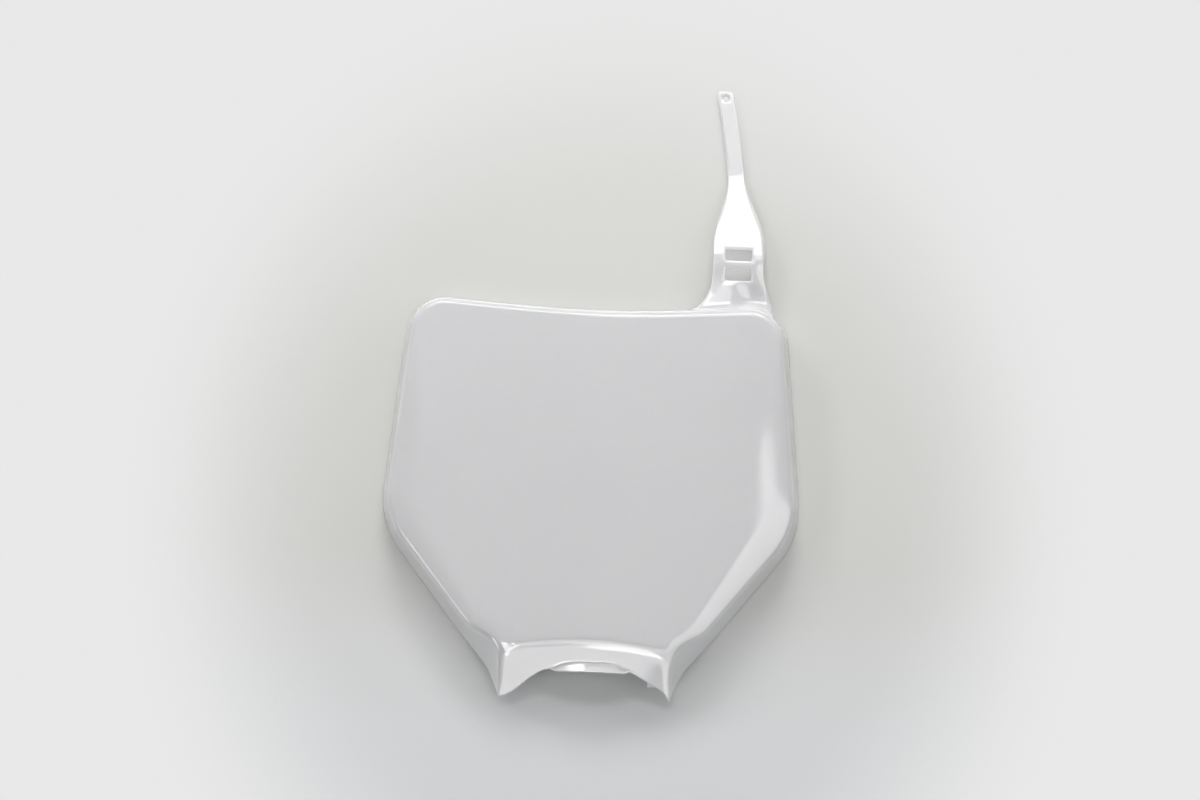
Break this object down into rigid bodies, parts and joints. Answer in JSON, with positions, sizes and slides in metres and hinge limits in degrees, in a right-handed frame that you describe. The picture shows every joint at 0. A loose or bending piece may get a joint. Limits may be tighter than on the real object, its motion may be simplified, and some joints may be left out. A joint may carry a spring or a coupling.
{
  "type": "number board",
  "caption": "Blank five-sided front number board with a turned-back wall, arched chin and slotted handlebar strap.",
  "frame": {"origin": "centre of the bounding box, on the surface that the rear rim rests on", "axes": "+X to the right in front of the face, +Y from the chin to the strap, +Z out of the face"},
  "size_m": [0.2428, 0.3686, 0.024],
  "materials": {
    "white_plastic": "gloss white moulding"
  },
  "bodies": {
    "root": {"number_board": "white_plastic"}
  },
  "joints": []
}
